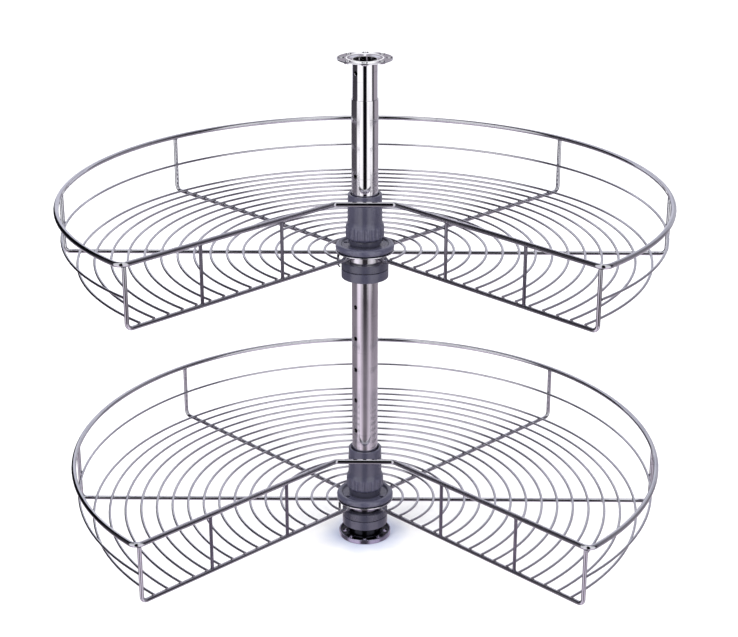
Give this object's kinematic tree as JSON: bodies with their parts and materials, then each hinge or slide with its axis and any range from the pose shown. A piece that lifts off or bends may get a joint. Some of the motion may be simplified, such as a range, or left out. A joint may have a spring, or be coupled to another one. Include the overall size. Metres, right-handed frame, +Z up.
{
  "type": "corner cupboard carousel",
  "caption": "Revolving storage for a corner cupboard: chromed wire baskets with a front notch turn on clamped plastic ball-race hubs round a telescopic steel post.",
  "frame": {"origin": "centre of the base flange's underside, on the cupboard floor", "axes": "+Z up along the post, -Y towards the open notch of the baskets (the front), +X to the right of someone who faces the notch"},
  "size_m": [0.71, 0.6054, 0.601],
  "materials": {
    "chrome_wire": "polished",
    "bright_chrome": "polished",
    "grey_plastic": "satin",
    "dark_plastic": "matt",
    "dark_steel": "satin",
    "ball_steel": "polished"
  },
  "bodies": {
    "post": {"base_flange": "bright_chrome", "post_tube": "bright_chrome"},
    "top_post": {"top_tube": "bright_chrome", "top_flange": "bright_chrome"},
    "lower_carrier": {"lower_hub_core": "grey_plastic", "lower_cap_ring": "grey_plastic", "lower_race_seat": "grey_plastic"},
    "lower_nut": {"lower_clamp_nut": "grey_plastic"},
    "lower_ball_set": {"lower_ball_cage": "dark_plastic", "lower_balls": "ball_steel"},
    "lower_basket": {"lower_race_cap": "grey_plastic", "lower_hub_ring": "bright_chrome", "lower_flange_disc": "grey_plastic", "lower_disc_screws": "dark_steel", "lower_stop_catch": "dark_steel", "lower_spoke_right": "chrome_wire", "lower_spoke_back_right": "chrome_wire", "lower_spoke_back_left": "chrome_wire", "lower_spoke_left": "chrome_wire", "lower_notch_frame_right": "chrome_wire", "lower_notch_frame_left": "chrome_wire", "lower_notch_uprights": "chrome_wire", "lower_floor_wires": "chrome_wire", "lower_mid_rail": "chrome_wire", "lower_rim_loop": "chrome_wire"},
    "upper_carrier": {"upper_hub_core": "grey_plastic", "upper_cap_ring": "grey_plastic", "upper_race_seat": "grey_plastic"},
    "upper_nut": {"upper_clamp_nut": "grey_plastic"},
    "upper_ball_set": {"upper_ball_cage": "dark_plastic", "upper_balls": "ball_steel"},
    "upper_basket": {"upper_race_cap": "grey_plastic", "upper_hub_ring": "bright_chrome", "upper_flange_disc": "grey_plastic", "upper_disc_screws": "dark_steel", "upper_stop_catch": "dark_steel", "upper_spoke_right": "chrome_wire", "upper_spoke_back_right": "chrome_wire", "upper_spoke_back_left": "chrome_wire", "upper_spoke_left": "chrome_wire", "upper_notch_frame_right": "chrome_wire", "upper_notch_frame_left": "chrome_wire", "upper_notch_uprights": "chrome_wire", "upper_floor_wires": "chrome_wire", "upper_mid_rail": "chrome_wire", "upper_rim_loop": "chrome_wire"}
  },
  "joints": [
    {"name": "top_post_slide", "type": "slide", "parent": "post", "child": "top_post", "axis": [0, 0, 1], "range_m": [-0.04, 0.1]},
    {"name": "lower_height", "type": "slide", "parent": "post", "child": "lower_carrier", "axis": [0, 0, 1], "range_m": [0, 0.08]},
    {"name": "lower_nut_turn", "type": "hinge", "parent": "lower_carrier", "child": "lower_nut", "pos_m": [0, 0, 0.0465], "axis": [0, 0, 1], "range_deg": [0, 90]},
    {"name": "lower_spin", "type": "hinge", "parent": "lower_carrier", "child": "lower_basket", "pos_m": [0, 0, 0.0465], "axis": [0, 0, 1], "continuous": true},
    {"name": "lower_ball_roll", "type": "hinge", "parent": "lower_carrier", "child": "lower_ball_set", "pos_m": [0, 0, 0.0465], "axis": [0, 0, 1], "continuous": true},
    {"name": "upper_height", "type": "slide", "parent": "post", "child": "upper_carrier", "axis": [0, 0, 1], "range_m": [-0.08, 0]},
    {"name": "upper_nut_turn", "type": "hinge", "parent": "upper_carrier", "child": "upper_nut", "pos_m": [0, 0, 0.37], "axis": [0, 0, 1], "range_deg": [0, 90]},
    {"name": "upper_spin", "type": "hinge", "parent": "upper_carrier", "child": "upper_basket", "pos_m": [0, 0, 0.37], "axis": [0, 0, 1], "continuous": true},
    {"name": "upper_ball_roll", "type": "hinge", "parent": "upper_carrier", "child": "upper_ball_set", "pos_m": [0, 0, 0.37], "axis": [0, 0, 1], "continuous": true}
  ],
  "couplings": [
    {"joint": "lower_ball_roll", "follows": "lower_spin", "ratio": 0.5},
    {"joint": "upper_ball_roll", "follows": "upper_spin", "ratio": 0.5}
  ]
}
